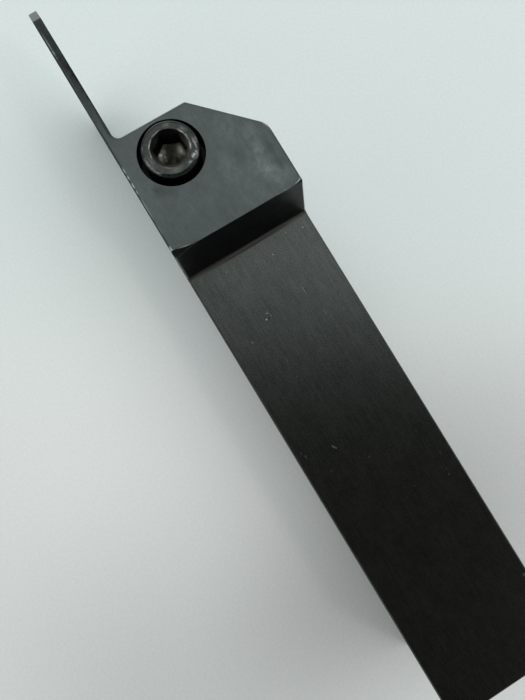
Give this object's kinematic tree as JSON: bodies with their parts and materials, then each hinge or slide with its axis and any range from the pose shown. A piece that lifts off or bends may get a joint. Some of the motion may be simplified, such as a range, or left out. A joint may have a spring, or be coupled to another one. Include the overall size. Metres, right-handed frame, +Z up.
{
  "type": "turning tool holder",
  "caption": "Square-shank lathe holder with a raised head, a thin blade that grips a parting insert in a slit jaw, and a socket-head clamp screw.",
  "frame": {"origin": "middle of the footprint, on the bottom face of the shank", "axes": "+X along the shank from its rear end to the cutting edge, +Y to the side that the blade is flush with, +Z up from the bottom face, the way the clamp screw's head faces"},
  "size_m": [0.1488, 0.025, 0.0346],
  "materials": {
    "holder_steel": "black oxide over ground steel, satin, worn bright along the edges",
    "screw_steel": "black oxide, semi-matt, rubbed grey on the head's face"
  },
  "bodies": {
    "holder": {"holder": "holder_steel"},
    "clamp_screw": {"clamp_screw": "screw_steel"}
  },
  "joints": [
    {"name": "clamp_screw_turn", "type": "hinge", "parent": "holder", "child": "clamp_screw", "pos_m": [0.0341, 0.00395, 0.0286], "axis": [0, 0, 1], "range_deg": [0, 540]}
  ]
}
